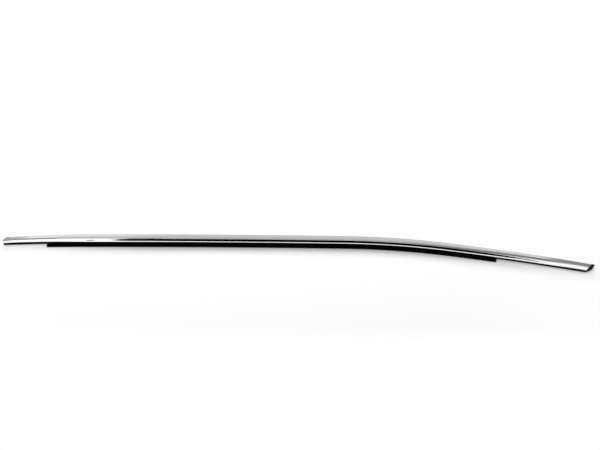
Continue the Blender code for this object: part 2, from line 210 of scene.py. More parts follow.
def middle(edge):
    return (edge.verts[0].co + edge.verts[1].co) / 2


def runs_along(edge):
    """Whether an edge runs the length of the strip."""
    way = edge.verts[1].co - edge.verts[0].co
    return abs(way.x) > 0.9 * way.length


def grow(place, y=0.0, z=0.0):
    """Extrude the side of a blank whose middle is at a place (y, z) in the section."""
    place = Vector(place)

    def is_side(face):
        return abs(face.normal.x) < 0.5 and (face.calc_center_median().yz - place).length < NEAR

    pick("faces", is_side)
    bpy.ops.mesh.extrude_region_move(TRANSFORM_OT_translate={"value": (0, y, z)})


def shift(place, y=0.0, z=0.0):
    """Move the points of the lengthwise edge at a place (y, z) in the section."""
    place = Vector(place)
    pick("verts", lambda vert: (vert.co.yz - place).length < NEAR)
    move(y=y, z=z)


def round_edge(y, z, radius, segments):
    """Round the lengthwise edge at a place in the section."""
    place = Vector((y, z))
    pick("edges", lambda edge: runs_along(edge) and (middle(edge).yz - place).length < NEAR)
    bm = bmesh.from_edit_mesh(bpy.context.object.data)
    edge = next(edge for edge in bm.edges if edge.select)
    inside = math.pi - edge.calc_face_angle()
    bpy.ops.mesh.bevel(offset=radius / math.tan(inside / 2), segments=segments, profile=0.5)


def draw_out(end):
    """Draw the right-hand end of a short blank out to its full length, ring by ring."""
    pick("faces", lambda face: face.normal.x > SQUARE_ON)
    bm = bmesh.from_edit_mesh(bpy.context.object.data)
    place = max(vert.co.x for vert in bm.verts)
    while place < end - NEAR:
        ahead = min(STEP, end - place)
        bpy.ops.mesh.extrude_region_move(TRANSFORM_OT_translate={"value": (ahead, 0, 0)})
        place += ahead


def carve(piece, cutter, operation="DIFFERENCE"):
    """Take a cutter's shape out of a piece, or join it on, and leave the piece in edit mode."""
    bpy.ops.object.mode_set(mode="OBJECT")
    cutter.select_set(False)
    piece.select_set(True)
    bpy.context.view_layer.objects.active = piece
    modifier = piece.modifiers.new("carve", "BOOLEAN")
    modifier.object = cutter
    modifier.operation = operation
    bpy.ops.object.modifier_apply(modifier=modifier.name)
    bpy.data.objects.remove(cutter)
    bpy.ops.object.mode_set(mode="EDIT")


def finish_piece(piece, material):
    """Leave edit mode with a pattern map of the straight piece, then bend and shade it."""
    bpy.ops.object.mode_set(mode="OBJECT")
    mesh = piece.data
    pattern_map = mesh.uv_layers.new(name="straight")
    for loop, spot in zip(mesh.loops, pattern_map.data):
        place = mesh.vertices[loop.vertex_index].co
        spot.uv = (place.x, place.y + place.z)
    bending = piece.modifiers.new("bend", "CURVE")
    bending.object = guide
    bending.deform_axis = "POS_X"
    bpy.ops.object.modifier_apply(modifier=bending.name)
    bpy.ops.object.shade_smooth_by_angle(angle=SHARP_EDGE)
    flat_faces = piece.modifiers.new("flat faces stay flat", "WEIGHTED_NORMAL")
    flat_faces.keep_sharp = True
    bpy.ops.object.modifier_apply(modifier=flat_faces.name)
    mesh.materials.clear()
    mesh.materials.append(material)


def linear(hex_colour):
    """An sRGB hex colour as linear red, green, blue and alpha."""
    channels = [int(hex_colour[i : i + 2], 16) / 255 for i in (1, 3, 5)]
    return [c / 12.92 if c <= 0.04045 else ((c + 0.055) / 1.055) ** 2.4 for c in channels] + [1.0]


def add_node(tree, kind, settings=None, values=None, links=None):
    """Add a node with its settings, its input values and the sockets that feed its inputs."""
    node = tree.nodes.new(kind)
    for name, value in (settings or {}).items():
        setattr(node, name, value)
    for socket, value in (values or {}).items():
        node.inputs[socket].default_value = value
    for socket, source in (links or {}).items():
        tree.links.new(source, node.inputs[socket])
    return node


def new_material(name):
    """A material with an empty tree, its Principled shader and its output."""
    material = bpy.data.materials.new(name)
    material.use_nodes = True
    tree = material.node_tree
    tree.nodes.clear()
    shader = add_node(tree, "ShaderNodeBsdfPrincipled")
    add_node(tree, "ShaderNodeOutputMaterial", links={"Surface": shader.outputs[0]})
    return material, tree, shader


def epdm_rubber():
    """Extruded EPDM: soot black and dull, with fine lines that the die left along it."""
    material, tree, shader = new_material("extruded EPDM rubber")
    shader.inputs["Specular IOR Level"].default_value = 0.05
    straight = add_node(tree, "ShaderNodeUVMap", {"uv_map": "straight"}).outputs[0]
    # die lines 0.25 mm apart that fade in and out over about 30 mm
    spacing = {"Scale": (1 / (30 * MM), 1 / (0.25 * MM), 1)}
    along = add_node(tree, "ShaderNodeMapping", values=spacing, links={0: straight}).outputs[0]
    lines = add_node(tree, "ShaderNodeTexNoise", values={"Scale": 1.0, "Detail": 2.0}, links={0: along})
    # a grain of 0.15 mm from the carbon black and the cure
    place = add_node(tree, "ShaderNodeTexCoord").outputs["Object"]
    size = {"Scale": 1 / (0.15 * MM), "Detail": 2.0}
    grain = add_node(tree, "ShaderNodeTexNoise", values=size, links={0: place})
    # a faint bloom of dust, in patches of about 12 mm
    size = {"Scale": 1 / (12 * MM), "Detail": 4.0}
    bloom = add_node(tree, "ShaderNodeTexNoise", values=size, links={0: place})
    colour = add_node(tree, "ShaderNodeMix", {"data_type": "RGBA"}, links={0: bloom.outputs[0]})
    colour.inputs[6].default_value = linear("#050506")
    colour.inputs[7].default_value = linear("#0a0a0a")
    tree.links.new(colour.outputs[2], shader.inputs["Base Color"])
    dullness = {"To Min": 0.62, "To Max": 0.78}
    sheen = add_node(tree, "ShaderNodeMapRange", values=dullness, links={0: lines.outputs[0]})
    tree.links.new(sheen.outputs[0], shader.inputs["Roughness"])
    both = {0: lines.outputs[0], 1: grain.outputs[0]}
    relief = add_node(tree, "ShaderNodeMath", {"operation": "ADD"}, links=both)
    depth = {"Strength": 0.25, "Distance": 0.03 * MM}
    bump = add_node(tree, "ShaderNodeBump", values=depth, links={"Height": relief.outputs[0]})
    tree.links.new(bump.outputs[0], shader.inputs["Normal"])
    return material


def head_top(y):
    """Height of the head, just clear of the sheet over it."""
    edge, height = (FRONT, FRONT_EDGE_HEIGHT) if y < RIDGE else (REAR, REAR_EDGE_HEIGHT)
    slope = (height - RIDGE_HEIGHT) / (edge - RIDGE)
    return RIDGE_HEIGHT + slope * (y - RIDGE) - (SHEET + CLEARANCE) * math.hypot(1, slope)


start = LEAD + CARRIER_END_GAP
carrier = blank("rubber_profile", (start, NOSE_FRONT, 0), (start + STEP, SLOT_FLOOR, NOSE_TOP))
cut((0, NECK_FRONT, 0), (0, 1, 0))
cut((0, 0, BACK_LEG), (0, 0, 1))
cut((0, 0, NOSE_TOP - LIP_ROOT), (0, 0, 1))
neck = (NECK_FRONT + SLOT_FLOOR) / 2
leg_rear = REAR - LEG_SETBACK
grow((SLOT_FLOOR, BACK_LEG / 2), y=leg_rear - SLOT_FLOOR)
grow((neck, NOSE_TOP), z=SLOT_CEILING - NOSE_TOP)
grow((neck, SLOT_CEILING), z=HEAD_FLOOR - SLOT_CEILING)
grow((SLOT_FLOOR, (SLOT_CEILING + HEAD_FLOOR) / 2), y=NECK_REAR - SLOT_FLOOR)

# the head: raised over the neck, hooked out over both hems, its top shaped to the roof
head_front, head_rear = FRONT + HEM_WIDTH - HEAD_HOOK, REAR - HEM_WIDTH + HEAD_HOOK
low_top = head_top(head_front)


def is_head_floor(face):
    return face.normal.z > SQUARE_ON and abs(face.calc_center_median().z - HEAD_FLOOR) < NEAR


pick("faces", is_head_floor)
bpy.ops.mesh.extrude_region_move(TRANSFORM_OT_translate={"value": (0, 0, low_top - HEAD_FLOOR)})
grow((NECK_FRONT, (HEAD_FLOOR + low_top) / 2), y=head_front - NECK_FRONT)
grow((NECK_REAR, (HEAD_FLOOR + low_top) / 2), y=head_rear - NECK_REAR)
cut((0, RIDGE, 0), (0, 1, 0))
for y in (NECK_FRONT, SLOT_FLOOR, RIDGE, NECK_REAR, head_rear):
    shift((y, low_top), z=head_top(y) - low_top)

# the lip: drawn out of the nose in steps, thinner and lower with each
root, tip = NOSE_TOP - LIP_ROOT / 2, LIP_GROUND_GAP + LIP_TIP / 2
place, low, high = NOSE_FRONT, NOSE_TOP - LIP_ROOT, NOSE_TOP
for step in range(1, LIP_STEPS + 1):
    share = step / LIP_STEPS
    centre = root + (tip - root) * share * (1 + LIP_DROOP - LIP_DROOP * share)
    half = (LIP_ROOT + (LIP_TIP - LIP_ROOT) * share) / 2
    ahead = NOSE_FRONT + (FRONT - LIP_REACH - NOSE_FRONT) * share
    grow((place, (low + high) / 2), y=ahead - place)
    shift((ahead, low), z=centre - half - low)
    shift((ahead, high), z=centre + half - high)
    place, low, high = ahead, centre - half, centre + half
round_edge(place, low, LIP_TIP_RADIUS, segments=6)
round_edge(place, high, LIP_TIP_RADIUS, segments=6)
round_edge(NOSE_FRONT, NOSE_TOP - LIP_ROOT, LIP_ROOT_FILLET, segments=4)
round_edge(NOSE_FRONT, 0, HEEL, segments=4)
round_edge(leg_rear, 0, LEG_EDGE_RADIUS, segments=4)
round_edge(leg_rear, BACK_LEG, LEG_EDGE_RADIUS, segments=4)

# saw-tooth fins that grip the flange, on both faces of the slot
for number in range(FINS):
    back = NECK_REAR - FIN_WIDTH - number * FIN_PITCH
    tooth = back - FIN_WIDTH
    cut((0, tooth, 0), (0, 1, 0))
    cut((0, back, 0), (0, 1, 0))
    for height, rise in ((BACK_LEG, FIN_HEIGHT), (SLOT_CEILING, -FIN_HEIGHT)):
        grow(((tooth + back) / 2, height), z=rise)
        shift((back, height + rise), z=-rise)
bpy.ops.mesh.select_all(action="SELECT")
bpy.ops.mesh.remove_doubles(threshold=NEAR)
draw_out(LEAD + LENGTH + SPARE)

# the head is skived off under the trim's closed end, and the lip is trimmed at both ends
clear, nose_cut = FRONT - LIP_REACH - SPARE, NOSE_FRONT + LIP_CUT_DEPTH
skive = blank("skive", (0, -SPARE, NOSE_TOP - SKIVE_DEPTH), (LEAD + HEAD_END_GAP, SPARE, 2 * SPARE))
carve(carrier, skive)
carve(carrier, blank("left_lip_cut", (0, clear, -SPARE), (LEAD + LIP_START, nose_cut, SPARE)))
past_end = LEAD + LENGTH + 2 * SPARE
right_cut = blank("right_lip_cut", (LEAD + LIP_END, clear, -SPARE), (past_end, nose_cut, SPARE))
pick("verts", lambda vert: vert.co.y < clear + NEAR and vert.co.x < LEAD + LIP_END + NEAR)
move(x=(clear - nose_cut) * math.tan(LIP_END_SLANT))
carve(carrier, right_cut)

# the rubber in front of the trim keeps most of its reach where the left end is drawn down
kept = FRONT + LEG_SETBACK
taper_end = LEAD + LEFT_TAPER_RUN
points = [vert.co for vert in bmesh.from_edit_mesh(carrier.data).verts]
rings = {round(point.x, 6) for point in points if point.y < kept and point.x < taper_end}
for ring in sorted(rings):
    pick("verts", lambda vert: vert.co.y < kept and abs(vert.co.x - ring) < NEAR)
    widen = left_end_scale(ring - LEAD) ** -REACH_KEPT
    bpy.ops.transform.resize(value=(1, widen, 1), center_override=(0, 0, 0))

slant_place = Vector((LEAD, FRONT + END_FLAT_WIDTH, 0))
cut(slant_place - SLANT_OUT * CARRIER_END_GAP, SLANT_OUT, drop=True)
cut((LEAD + LENGTH, 0, 0), MITRE_OUT, drop=True)
finish_piece(carrier, epdm_rubber())
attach(carrier, "root")
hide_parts("rubber_carrier")

# Trim strip
# Stainless sheet, 0.6 mm thick, rolled to a two-facet section with its edges hemmed under,
# bright polished. Its left end is pressed shut to a slanted corner and its right end is
# mitred. The hems are crimped round the carrier's head.

FRONT_EDGE_RADIUS, RIDGE_RADIUS, REAR_EDGE_RADIUS = 0.75 * MM, 1.1 * MM, 0.8 * MM
LOWER_FACET_CROWN, UPPER_FACET_CROWN = 0.10 * MM, 0.12 * MM
END_INSET, END_FACET_RUN, END_FACET_DROP, END_EDGE_RADIUS = 0.1 * MM, 18.0 * MM, 1.6 * MM, 0.5 * MM
HEM_END_GAP = 12.0 * MM


def crown(start, end, height, steps):
    """Bow the flat top between two lengthwise edges, given as (y, z), outwards."""
    out = Vector((start[1] - end[1], end[0] - start[0])).normalized()
    shares = [step / steps for step in range(1, steps)]
    lines = [(share, start[0] + share * (end[0] - start[0])) for share in shares]
    for share, y in lines:
        pick("faces", lambda face: face.normal.z > 0.5)
        bpy.ops.mesh.bisect(plane_co=(0, y, 0), plane_no=(0, 1, 0), threshold=NEAR)
    for share, y in lines:
        pick("verts", lambda vert: abs(vert.co.y - y) < NEAR and vert.co.z > HEM_HEIGHT + SHEET)
        rise = out * height * 4 * share * (1 - share)
        move(y=rise.x, z=rise.y)


def roof(name, start, end, foot, segments):
    """A blank with the two-facet top that the trim and the cap share, its edges rounded."""
    piece = blank(name, (start, FRONT, foot), (end, REAR, RIDGE_HEIGHT))
    cut((0, RIDGE, 0), (0, 1, 0))
    shift((FRONT, RIDGE_HEIGHT), z=FRONT_EDGE_HEIGHT - RIDGE_HEIGHT)
    shift((REAR, RIDGE_HEIGHT), z=REAR_EDGE_HEIGHT - RIDGE_HEIGHT)
    crown((FRONT, FRONT_EDGE_HEIGHT), (RIDGE, RIDGE_HEIGHT), LOWER_FACET_CROWN, steps=8)
    crown((RIDGE, RIDGE_HEIGHT), (REAR, REAR_EDGE_HEIGHT), UPPER_FACET_CROWN, steps=8)
    round_edge(FRONT, FRONT_EDGE_HEIGHT, FRONT_EDGE_RADIUS, segments)
    round_edge(REAR, REAR_EDGE_HEIGHT, REAR_EDGE_RADIUS, segments)
    round_edge(RIDGE, RIDGE_HEIGHT, RIDGE_RADIUS, segments=8)
    return piece


def polished_stainless():
    """Polished stainless: a clear mirror, with faint lines along it from rolling and polishing."""
    material, tree, shader = new_material("polished stainless steel")
    shader.inputs["Base Color"].default_value = linear("#ebebec")
    shader.inputs["Metallic"].default_value = 1.0
    straight = add_node(tree, "ShaderNodeUVMap", {"uv_map": "straight"}).outputs[0]
    # lines 0.2 mm apart that run on for about 60 mm: too fine to see but in the gloss
    spacing = {"Scale": (1 / (60 * MM), 1 / (0.2 * MM), 1)}
    along = add_node(tree, "ShaderNodeMapping", values=spacing, links={0: straight}).outputs[0]
    lines = add_node(tree, "ShaderNodeTexNoise", values={"Scale": 1.0, "Detail": 3.0}, links={0: along})
    dullness = {"To Min": 0.015, "To Max": 0.07}
    gloss = add_node(tree, "ShaderNodeMapRange", values=dullness, links={0: lines.outputs[0]})
    tree.links.new(gloss.outputs[0], shader.inputs["Roughness"])
    depth = {"Strength": 0.04, "Distance": 0.01 * MM}
    bump = add_node(tree, "ShaderNodeBump", values=depth, links={"Height": lines.outputs[0]})
    tree.links.new(bump.outputs[0], shader.inputs["Normal"])
    return material


trim = roof("bright_trim", LEAD + END_INSET, LEAD + STEP, HEM_HEIGHT, segments=12)
round_edge(FRONT, HEM_HEIGHT, HEM_RADIUS, segments=8)
round_edge(REAR, HEM_HEIGHT, HEM_RADIUS, segments=8)
for hem_tip in (FRONT + HEM_WIDTH, REAR - HEM_WIDTH):
    cut((0, hem_tip, 0), (0, 1, 0))
draw_out(LEAD + LENGTH + SPARE)
cut((LEAD + LENGTH, 0, 0), MITRE_OUT, drop=True)

# the end facet: pressed flat from a point on the ridge to the rear corner and the end
lower_slope = (RIDGE_HEIGHT - FRONT_EDGE_HEIGHT) / (RIDGE - FRONT)
fold = Vector((LEAD + END_FACET_RUN, RIDGE, RIDGE_HEIGHT))
rear_corner = Vector((LEAD + END_SLANT_RUN, REAR, REAR_EDGE_HEIGHT))
end_place = Vector((LEAD, RIDGE - END_FACET_DROP, RIDGE_HEIGHT - END_FACET_DROP * lower_slope))
facet_out = (rear_corner - fold).cross(end_place - fold).normalized()
cut(fold, facet_out, drop=True)
cut(slant_place, SLANT_OUT, drop=True)
hem_start = LEAD + HEM_END_GAP
cut((hem_start, 0, 0), (1, 0, 0))


def is_open(face):
    """Faces that the sheet leaves open: between the hems, before them, and at the mitred end."""
    centre = face.calc_center_median()
    under = face.normal.z < -SQUARE_ON
    between = under and abs(centre.y) < REAR - HEM_WIDTH
    before = under and centre.x < hem_start
    return between or before or face.normal.dot(MITRE_OUT) > SQUARE_ON


pick("faces", is_open)
bpy.ops.mesh.delete(type="FACE")
bpy.ops.object.mode_set(mode="OBJECT")
wall = trim.modifiers.new("sheet", "SOLIDIFY")
wall.thickness = SHEET
wall.offset = -1
wall.use_even_offset = True
bpy.ops.object.modifier_apply(modifier=wall.name)
bpy.ops.object.mode_set(mode="EDIT")


def is_end_edge(edge):
    """Whether an edge joins the trim's top to its closed end."""
    outs = [max(-face.normal.x, face.normal.dot(SLANT_OUT)) for face in edge.link_faces]
    ends = [out > SQUARE_ON for out in outs]
    return any(ends) and not all(ends) and middle(edge).z > FRONT_EDGE_HEIGHT - FRONT_EDGE_RADIUS


pick("edges", lambda edge: any(face.normal.dot(facet_out) > SAME_WAY for face in edge.link_faces))
bpy.ops.mesh.mark_sharp()
pick("edges", is_end_edge)
bpy.ops.mesh.bevel(offset=END_EDGE_RADIUS, segments=3, profile=0.5, clamp_overlap=True)
finish_piece(trim, polished_stainless())
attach(trim, "root")
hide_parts("trim_strip")

# End cap
# Black ABS, injection moulded in one piece with a flat tongue. The tongue is pushed into the
# carrier's slot until the cap meets the mitre, and the cap's top runs on from the trim's.

CAP_LENGTH, CAP_NOSE_ANGLE, CAP_NOSE_LAND = 5.1 * MM, math.radians(36), 0.2 * MM
CAP_EDGE_RADIUS, CAP_FOOT_RADIUS = 0.5 * MM, 0.6 * MM
TONGUE_LENGTH, TONGUE_END_GAP, TONGUE_EDGE_RADIUS = 10.0 * MM, 1.2 * MM, 0.2 * MM


def moulded_abs():
    """Moulded ABS: deep black with a low, even sheen from a finely eroded mould."""
    material, tree, shader = new_material("moulded black ABS")
    shader.inputs["Specular IOR Level"].default_value = 0.2
    place = add_node(tree, "ShaderNodeTexCoord").outputs["Object"]
    # eroded grain, 0.12 mm across
    grain = add_node(tree, "ShaderNodeTexVoronoi", values={"Scale": 1 / (0.12 * MM)}, links={0: place})
    # flow of the plastic, in patches of about 4 mm
    size = {"Scale": 1 / (4 * MM), "Detail": 3.0}
    flow = add_node(tree, "ShaderNodeTexNoise", values=size, links={0: place})
    colour = add_node(tree, "ShaderNodeMix", {"data_type": "RGBA"}, links={0: flow.outputs[0]})
    colour.inputs[6].default_value = linear("#060607")
    colour.inputs[7].default_value = linear("#0b0b0c")
    tree.links.new(colour.outputs[2], shader.inputs["Base Color"])
    dullness = {"To Min": 0.42, "To Max": 0.52}
    sheen = add_node(tree, "ShaderNodeMapRange", values=dullness, links={0: flow.outputs[0]})
    tree.links.new(sheen.outputs[0], shader.inputs["Roughness"])
    depth = {"Strength": 0.2, "Distance": 0.02 * MM}
    bump = add_node(tree, "ShaderNodeBump", values=depth, links={"Height": grain.outputs[0]})
    tree.links.new(bump.outputs[0], shader.inputs["Normal"])
    return material


def mitre_point(y, offset=0.0):
    """Where the mitre, or a plane offset beyond it, crosses y."""
    return LEAD + LENGTH + y * math.tan(MITRE_ANGLE) + offset / math.cos(MITRE_ANGLE)


cap = roof("black_cap", LEAD + LENGTH - SPARE, LEAD + LENGTH + 2 * SPARE, foot=0, segments=8)
round_edge(FRONT, 0, CAP_FOOT_RADIUS, segments=3)
round_edge(REAR, 0, CAP_FOOT_RADIUS, segments=3)
nose_out = Vector((math.sin(CAP_NOSE_ANGLE), -math.cos(CAP_NOSE_ANGLE), 0))
cut((mitre_point(0, CLEARANCE), 0, 0), -MITRE_OUT, drop=True)
cut((mitre_point(0, CLEARANCE + CAP_LENGTH), 0, 0), MITRE_OUT, drop=True)
cut((mitre_point(FRONT, CLEARANCE) + CAP_NOSE_LAND, FRONT, 0), nose_out, drop=True)


def is_rim(edge):
    """Whether an edge borders the cap's end face or its slanted nose."""
    outs = [max(face.normal.dot(MITRE_OUT), face.normal.dot(nose_out)) for face in edge.link_faces]
    return max(outs) > SQUARE_ON


pick("edges", is_rim)
bpy.ops.mesh.bevel(offset=CAP_EDGE_RADIUS, segments=4, profile=0.5, clamp_overlap=True)

tongue_front, tongue_rear = SLOT_FLOOR + CLEARANCE, NECK_REAR
low, high = BACK_LEG + FIN_HEIGHT + CLEARANCE, SLOT_CEILING - FIN_HEIGHT - CLEARANCE
tip_front = Vector((mitre_point(tongue_front) - TONGUE_LENGTH, tongue_front, 0))
tip_rear = Vector((mitre_point(tongue_rear) - TONGUE_LENGTH, tongue_rear - TONGUE_END_GAP, 0))
root_rear = Vector((mitre_point(tongue_rear, CAP_LENGTH / 2), tongue_rear, 0))
up = Vector((0, 0, 1))
first_corner = (LEAD + LENGTH - 2 * SPARE, tongue_front, low)
last_corner = (LEAD + LENGTH + SPARE, tongue_rear, high)
tongue = blank("tongue", first_corner, last_corner)
cut((mitre_point(0, CAP_LENGTH / 2), 0, 0), MITRE_OUT, drop=True)
cut(tip_front, (tip_front - tip_rear).cross(up).normalized(), drop=True)
cut(tip_rear, (tip_rear - root_rear).cross(up).normalized(), drop=True)
bpy.ops.mesh.select_mode(type="EDGE")
bpy.ops.mesh.select_all(action="SELECT")
bpy.ops.mesh.bevel(offset=TONGUE_EDGE_RADIUS, segments=2, profile=0.5)
carve(cap, tongue, "UNION")
finish_piece(cap, moulded_abs())
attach(cap, "root")
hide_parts("end_cap")

# Floor and studio
# A white table in a white room, lit by one long softbox behind the strip. The room's greys are a painted
# reflection that shows in the trim alone, with its dark front in the lower facet. A black card in front
# of the trim, seen only in reflections, is a painted dark reflection that keeps the trim's front edge
# dark. Near the strip the table has a painted glow, seen by the camera alone, that lightens its shadow.

TABLE_SIZE, TABLE_DROP = 8, 0.02 * MM

# The shadow is kept within an oval, past which the table fades into the room. Inside it the table has
# a painted glow that lightens the shadow, from a distance along the strip on, but less where the strip
# is close over it.
SHADOW_LENGTH, SHADOW_WIDTH, FADED_AT = 0.75, 0.13, 1.4
GLOW_START, GLOW_FULL, MIDDLE_GLOW, END_GLOW = 0.20, 0.46, 0.26, 0.84
SHADED_REACH, COVERED, UNCOVERED, COVERED_GLOW = 8 * MM, 0.5, 0.95, 0.35
CARD_WIDTH, CARD_GAP, CARD_HEIGHT = 150 * MM, 0.5 * MM, -0.01 * MM


def white_table():
    """A matt white table that takes the shadow, with a painted glow near the strip that lightens it, and
    runs into the white room further off.
    """
    material, tree, shader = new_material("white table")
    shader.inputs["Base Color"].default_value = linear("#fdfdfd")
    shader.inputs["Roughness"].default_value = 0.9
    shader.inputs["Specular IOR Level"].default_value = 0.0
    place = add_node(tree, "ShaderNodeTexCoord").outputs["Object"]
    oval = {"Scale": (SHADOW_LENGTH, SHADOW_WIDTH, 1)}
    share = add_node(tree, "ShaderNodeMapping", {"vector_type": "TEXTURE"}, oval, {0: place})
    reach = add_node(tree, "ShaderNodeVectorMath", {"operation": "LENGTH"}, links={0: share.outputs[0]})
    smooth = {"interpolation_type": "SMOOTHSTEP"}
    span = {"From Min": 1.0, "From Max": FADED_AT}
    away = add_node(tree, "ShaderNodeMapRange", smooth, span, {0: reach.outputs["Value"]})
    # painted glow: white that only the camera sees, growing along the strip from its middle to its ends
    # to lighten the shadow, and cut down by ambient occlusion where the strip is close over the table
    along = add_node(tree, "ShaderNodeSeparateXYZ", links={0: place}).outputs[0]
    out = add_node(tree, "ShaderNodeMath", {"operation": "ABSOLUTE"}, links={0: along})
    span = {"From Min": GLOW_START, "From Max": GLOW_FULL, "To Min": MIDDLE_GLOW, "To Max": END_GLOW}
    painted_glow = add_node(tree, "ShaderNodeMapRange", smooth, span, {0: out.outputs[0]})
    near = add_node(tree, "ShaderNodeAmbientOcclusion", values={"Distance": SHADED_REACH}).outputs["AO"]
    span = {"From Min": COVERED, "From Max": UNCOVERED, "To Min": COVERED_GLOW}
    free = add_node(tree, "ShaderNodeMapRange", values=span, links={0: near})
    pair = {0: painted_glow.outputs[0], 1: free.outputs[0]}
    painted_glow_share = add_node(tree, "ShaderNodeMath", {"operation": "MULTIPLY"}, links=pair)
    pair = {0: away.outputs[0], 1: painted_glow_share.outputs[0]}
    lit = add_node(tree, "ShaderNodeMath", {"operation": "MAXIMUM"}, links=pair)
    ray = add_node(tree, "ShaderNodeLightPath").outputs["Is Camera Ray"]
    both = add_node(tree, "ShaderNodeMath", {"operation": "MULTIPLY"}, links={0: lit.outputs[0], 1: ray})
    white = add_node(tree, "ShaderNodeEmission")
    white.inputs["Color"].default_value = linear("#ffffff")
    blend = {0: both.outputs[0], 1: shader.outputs[0], 2: white.outputs[0]}
    top = add_node(tree, "ShaderNodeMixShader", links=blend)
    # from below, the table is clear
    below = add_node(tree, "ShaderNodeNewGeometry").outputs["Backfacing"]
    clear = add_node(tree, "ShaderNodeBsdfTransparent")
    blend = {0: below, 1: top.outputs[0], 2: clear.outputs[0]}
    sides = add_node(tree, "ShaderNodeMixShader", links=blend)
    output = next(node for node in tree.nodes if node.type == "OUTPUT_MATERIAL")
    tree.links.new(sides.outputs[0], output.inputs["Surface"])
    return material


def black_card():
    """Matt black card, a painted dark reflection: only reflections see it, and it gives no light back to
    the trim's front edge.
    """
    material, tree, shader = new_material("black card")
    shader.inputs["Base Color"].default_value = linear("#0c0c0d")
    shader.inputs["Roughness"].default_value = 0.9
    shader.inputs["Specular IOR Level"].default_value = 0.0
    return material


for thing in bpy.context.selected_objects:
    thing.select_set(False)
bpy.ops.mesh.primitive_plane_add(size=TABLE_SIZE, location=(0, 0, cad_low.z - TABLE_DROP))
floor = bpy.context.object
floor.name = "floor"
floor.data.materials.append(white_table())
floor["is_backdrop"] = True

card_edge = FRONT - CARD_GAP
first_corner = (LEAD, card_edge - CARD_WIDTH, -SPARE)
card = blank("black_card", first_corner, (LEAD + STEP, card_edge, CARD_HEIGHT))
draw_out(LEAD + LENGTH)
pick("faces", lambda face: face.normal.z < SQUARE_ON)
bpy.ops.mesh.delete(type="FACE")
finish_piece(card, black_card())
# only reflections see the card: it paints a dark reflection into the trim's front edge
card.visible_camera = False
card.visible_diffuse = False
card.visible_shadow = False
card.visible_transmission = False
card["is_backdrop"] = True

world = bpy.data.worlds.new("studio")
bpy.context.scene.world = world
world.use_nodes = True
tree = world.node_tree
tree.nodes.clear()

# side: -1 left to 1 right; tilt: degrees from straight up, towards the camera
direction = add_node(tree, "ShaderNodeTexCoord").outputs["Generated"]
side, depth, height = add_node(tree, "ShaderNodeSeparateXYZ", links={0: direction}).outputs
to_camera = add_node(tree, "ShaderNodeMath", {"operation": "MULTIPLY"}, {1: -1.0}, {0: depth}).outputs[0]
pair = {0: to_camera, 1: height}
angle = add_node(tree, "ShaderNodeMath", {"operation": "ARCTAN2"}, links=pair).outputs[0]
tilt = add_node(tree, "ShaderNodeMath", {"operation": "DEGREES"}, links={0: angle}).outputs[0]
LOWEST, HIGHEST = -90.0, 60.0
span = {"From Min": LOWEST, "From Max": HIGHEST}
share = add_node(tree, "ShaderNodeMapRange", values=span, links={0: tilt}).outputs[0]

# the painted reflection of the room that the trim sees: the middle, then each part to the left and to
# the right of it, from the side where it starts to the side where it is full, and its greys by tilt,
# from low behind the strip to in front of it
PAINTED_ROOM_REFLECTION = (
    (None, None, (
        (-60, "#8d8d8f"), (-53, "#a2a2a4"), (-50, "#c1c1c3"), (-44, "#b6b6b9"),
        (-41, "#98989c"), (-38, "#aeaeb0"), (-30, "#d4d4d6"), (24, "#f4f4f4"),
    )),
    (-0.15, -0.25, (
        (-56, "#d0d0d2"), (-50, "#d6d6d8"), (-46, "#d2d2d5"), (-44, "#b2b2b6"),
        (-42, "#b2b2b6"), (-38, "#d6d6d7"), (-30, "#fafafa"), (24, "#fcfcfc"),
    )),
    (-0.312, -0.32, (
        (-56, "#cacacd"), (-50, "#d2d2d6"), (-47, "#ececf0"), (-45.2, "#dedee2"),
        (-43.8, "#8a8a90"), (-42, "#747479"), (-39, "#d0d0d4"), (24, "#fcfcfc"),
    )),
    (-0.347, -0.352, (
        (-56, "#b9b9bc"), (-50, "#b4b4b8"), (-46, "#a6a6aa"), (-42, "#7c7c82"),
        (-39, "#9c9ca0"), (-34, "#fafafa"), (24, "#fcfcfc"),
    )),
    (-0.37, -0.40, (
        (-56, "#7c7c82"), (-46, "#9a9a9f"), (24, "#a4a4a9"),
    )),
    (0.15, 0.25, (
        (-56, "#aaaaae"), (-51, "#c6c6ca"), (-46, "#cbcbcf"), (-43, "#77777e"),
        (-40, "#5e5e64"), (-37, "#f4f4f6"), (24, "#ffffff"),
    )),
    (0.30, 0.345, (
        (-60, "#aeaeb2"), (-51, "#95959a"), (-46, "#74747b"), (-42, "#8e8e95"),
        (-39, "#e4e4e8"), (-36, "#ffffff"), (24, "#ffffff"),
    )),
)
smooth, colours = {"interpolation_type": "SMOOTHSTEP"}, {"data_type": "RGBA"}
seen = None
for starts, full, stops in PAINTED_ROOM_REFLECTION:
    ramp = add_node(tree, "ShaderNodeValToRGB", links={0: share})
    marks = ramp.color_ramp.elements
    while len(marks) < len(stops):
        marks.new(1.0)
    for mark, (place, grey) in zip(marks, stops):
        mark.position = (place - LOWEST) / (HIGHEST - LOWEST)
        mark.color = linear(grey)
    if seen is None:
        seen = ramp.outputs[0]
        continue
    span = {"From Min": starts, "From Max": full}
    weight = add_node(tree, "ShaderNodeMapRange", smooth, span, {0: side}).outputs[0]
    mix = add_node(tree, "ShaderNodeMix", colours, links={0: weight, 6: seen, 7: ramp.outputs[0]})
    seen = mix.outputs[2]
